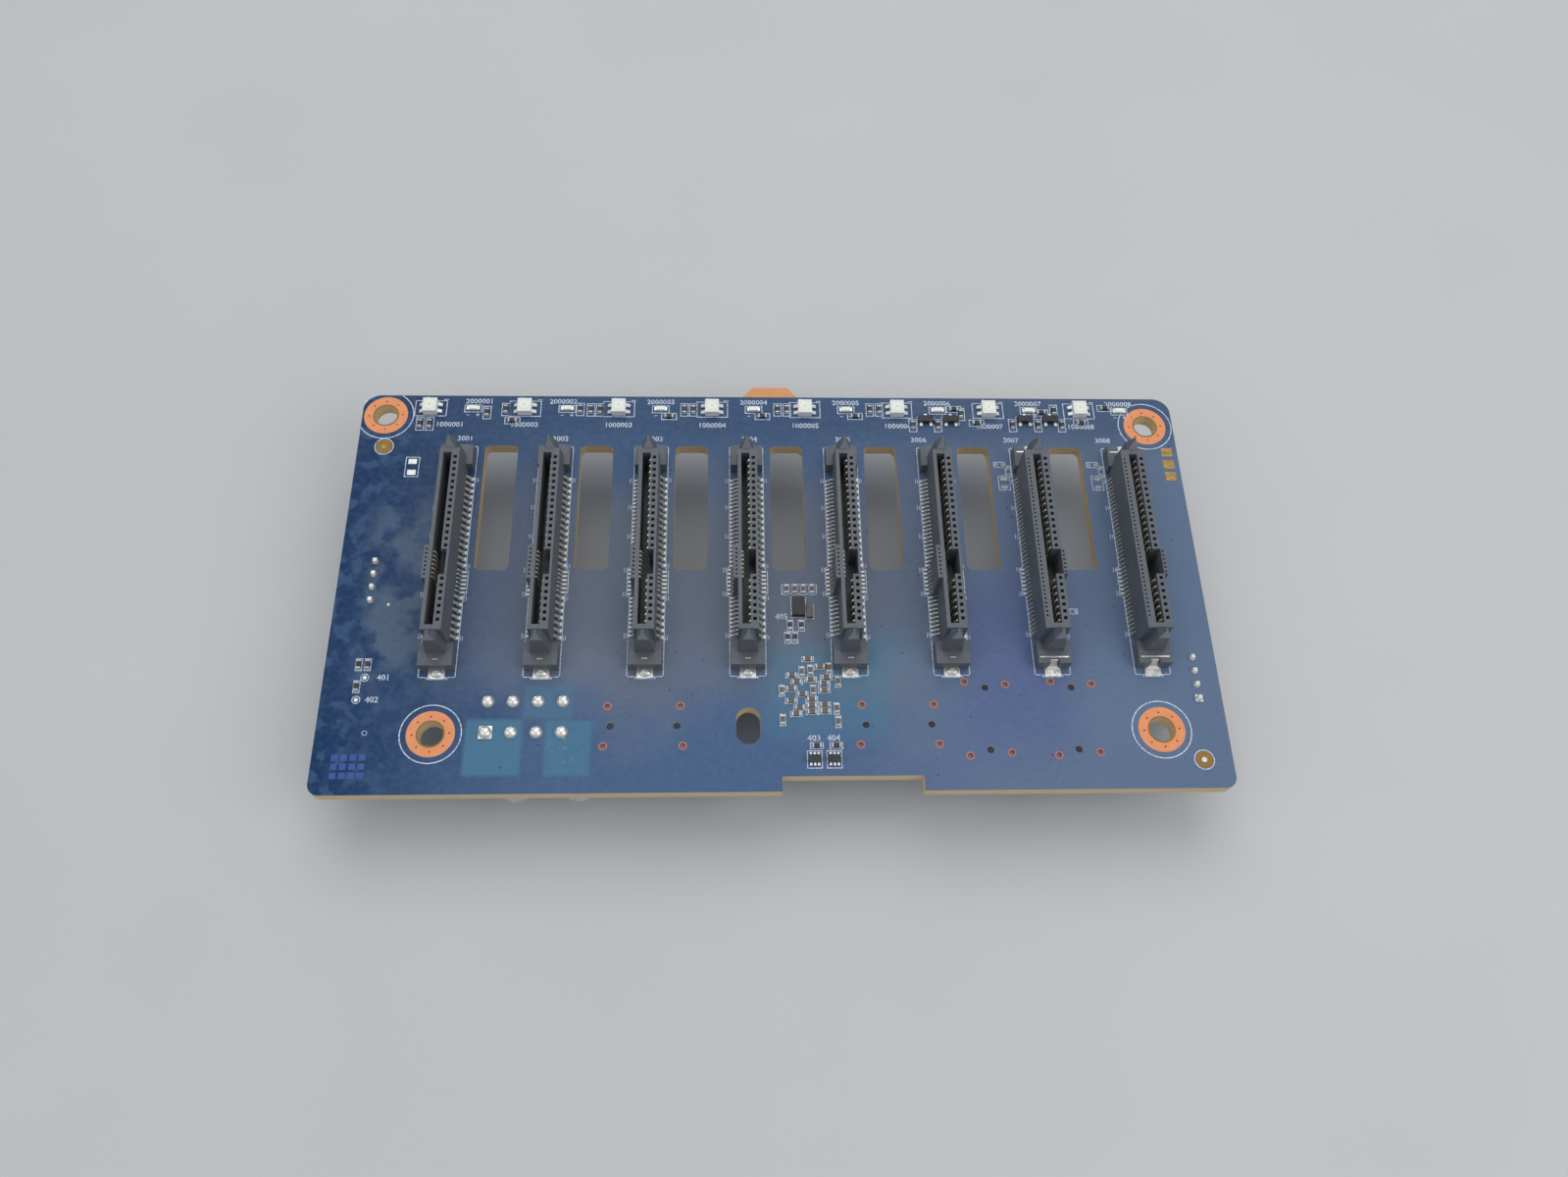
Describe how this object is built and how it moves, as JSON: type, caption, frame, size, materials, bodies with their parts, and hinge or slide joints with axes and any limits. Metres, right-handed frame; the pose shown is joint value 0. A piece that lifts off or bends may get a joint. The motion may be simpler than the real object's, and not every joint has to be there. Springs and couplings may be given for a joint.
{
  "type": "drive backplane board",
  "caption": "Flat circuit board that stands across the back of a drive cage, with upright drive receptacles and vent slots on its front and cable sockets and a power header on its rear.",
  "frame": {"origin": "axis of the lower left mounting hole, on the front face of the board", "axes": "+X along the board from the first receptacle to the last, +Y towards the edge with the indicator lamps, +Z out of the front face, the way a drive is pulled out"},
  "size_m": [0.154, 0.0802, 0.0252],
  "materials": {
    "board_blue": "blue solder mask over laminate",
    "socket_black": "moulded, dark grey black",
    "contact_tin": "tin plated tails",
    "clip_tin": "tin plated sheet",
    "lamp_white": "white moulded case with a clear filled cup",
    "lamp_clear": "clear moulded lens",
    "chip_black": "ceramic chip with tinned ends",
    "chip_brown": "ceramic chip with tinned ends",
    "package_black": "moulded package",
    "header_black": "moulded nylon",
    "header_white": "moulded nylon",
    "pin_tin": "tin plated pins",
    "cage_steel": "plated sheet",
    "insert_black": "moulded",
    "can_aluminium": "rolled can, bare end"
  },
  "bodies": {
    "root": {"circuit_board": "board_blue", "receptacle_housing_1": "socket_black", "receptacle_housing_2": "socket_black", "receptacle_housing_3": "socket_black", "receptacle_housing_4": "socket_black", "receptacle_housing_5": "socket_black", "receptacle_housing_6": "socket_black", "receptacle_housing_7": "socket_black", "receptacle_housing_8": "socket_black", "receptacle_contacts_1": "contact_tin", "receptacle_contacts_2": "contact_tin", "receptacle_contacts_3": "contact_tin", "receptacle_contacts_4": "contact_tin", "receptacle_contacts_5": "contact_tin", "receptacle_contacts_6": "contact_tin", "receptacle_contacts_7": "contact_tin", "receptacle_contacts_8": "contact_tin", "receptacle_clips_1": "clip_tin", "receptacle_clips_2": "clip_tin", "receptacle_clips_3": "clip_tin", "receptacle_clips_4": "clip_tin", "receptacle_clips_5": "clip_tin", "receptacle_clips_6": "clip_tin", "receptacle_clips_7": "clip_tin", "receptacle_clips_8": "clip_tin", "status_lamps": "lamp_white", "activity_lamps": "lamp_clear", "chip_resistors": "chip_black", "chip_capacitors": "chip_brown", "lamp_transistors": "package_black", "logic_gates": "package_black", "control_chip": "package_black", "power_header_housing": "header_black", "power_header_pins": "pin_tin", "left_header_housing": "header_white", "left_header_pins": "pin_tin", "right_header_housing": "header_white", "right_header_pins": "pin_tin", "cable_socket_cage_1": "cage_steel", "cable_socket_cage_2": "cage_steel", "cable_socket_cage_3": "cage_steel", "cable_socket_cage_4": "cage_steel", "cable_socket_insert_1": "insert_black", "cable_socket_insert_2": "insert_black", "cable_socket_insert_3": "insert_black", "cable_socket_insert_4": "insert_black", "can_base_1": "header_black", "can_shell_1": "can_aluminium", "can_base_2": "header_black", "can_shell_2": "can_aluminium"}
  },
  "joints": []
}
